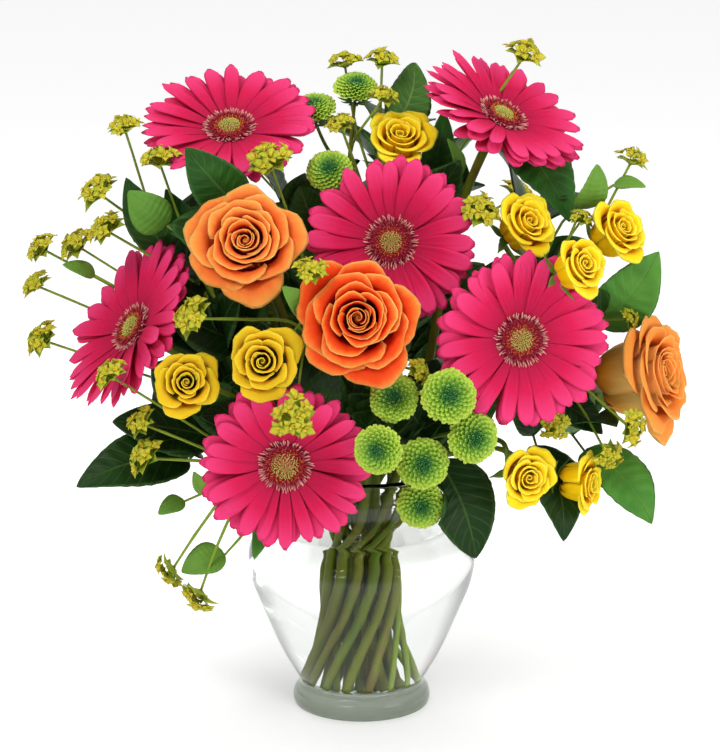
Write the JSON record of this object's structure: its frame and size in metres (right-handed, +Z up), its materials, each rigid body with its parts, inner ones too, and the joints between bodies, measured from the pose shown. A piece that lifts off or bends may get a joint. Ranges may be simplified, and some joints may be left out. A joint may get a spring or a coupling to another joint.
{
  "type": "gerberas in a vase",
  "caption": "Round bouquet of pink gerberas, orange and yellow roses, green button chrysanthemums and greenery, standing in a clear glass vase of water.",
  "frame": {"origin": "middle of the flat underside of the vase's foot, on the surface that the vase stands on", "axes": "+Z up, -Y towards the bouquet's front as pictured, +X to the right as seen from the front"},
  "size_m": [0.3866, 0.2661, 0.4033],
  "materials": {
    "glass": "polished",
    "water": "polished",
    "stem": "satin",
    "gerbera_ray": "matte",
    "gerbera_disc": "matte",
    "rose_petal": "matte",
    "yellow_petal": "matte",
    "mum_floret": "matte",
    "salal_leaf": "satin",
    "bupleurum": "matte"
  },
  "bodies": {
    "root": {"vase": "glass", "gerbera_top_left_stem": "stem", "gerbera_top_left_disc": "gerbera_disc", "gerbera_top_left_rays": "gerbera_ray", "gerbera_top_right_stem": "stem", "gerbera_top_right_disc": "gerbera_disc", "gerbera_top_right_rays": "gerbera_ray", "gerbera_middle_stem": "stem", "gerbera_middle_disc": "gerbera_disc", "gerbera_middle_rays": "gerbera_ray", "gerbera_left_stem": "stem", "gerbera_left_disc": "gerbera_disc", "gerbera_left_rays": "gerbera_ray", "gerbera_right_stem": "stem", "gerbera_right_disc": "gerbera_disc", "gerbera_right_rays": "gerbera_ray", "gerbera_low_stem": "stem", "gerbera_low_disc": "gerbera_disc", "gerbera_low_rays": "gerbera_ray", "rose_left_stem": "stem", "rose_left_petals": "rose_petal", "rose_middle_stem": "stem", "rose_middle_petals": "rose_petal", "rose_right_stem": "stem", "rose_right_petals": "rose_petal", "spray_rose_top_stem": "stem", "spray_rose_top_petals_1": "yellow_petal", "spray_rose_high_stem": "stem", "spray_rose_high_petals_1": "yellow_petal", "spray_rose_high_petals_2": "yellow_petal", "spray_rose_high_petals_3": "yellow_petal", "spray_rose_left_stem": "stem", "spray_rose_left_petals_1": "yellow_petal", "spray_rose_left_petals_2": "yellow_petal", "spray_rose_low_stem": "stem", "spray_rose_low_petals_1": "yellow_petal", "spray_rose_low_petals_2": "yellow_petal", "button_mum_front_stem": "stem", "button_mum_front_head_1": "mum_floret", "button_mum_front_head_2": "mum_floret", "button_mum_front_head_3": "mum_floret", "button_mum_front_head_4": "mum_floret", "button_mum_front_head_5": "mum_floret", "button_mum_front_head_6": "mum_floret", "button_mum_top_stem": "stem", "button_mum_top_head_1": "mum_floret", "button_mum_top_head_2": "mum_floret", "button_mum_top_head_3": "mum_floret", "salal_left": "salal_leaf", "salal_right": "salal_leaf", "salal_front": "salal_leaf", "salal_back": "salal_leaf", "bupleurum_upper_left": "bupleurum", "bupleurum_left": "bupleurum", "bupleurum_low_left": "bupleurum", "bupleurum_middle": "bupleurum", "bupleurum_top": "bupleurum", "bupleurum_right": "bupleurum", "bupleurum_back": "bupleurum", "water": "water"}
  },
  "joints": []
}
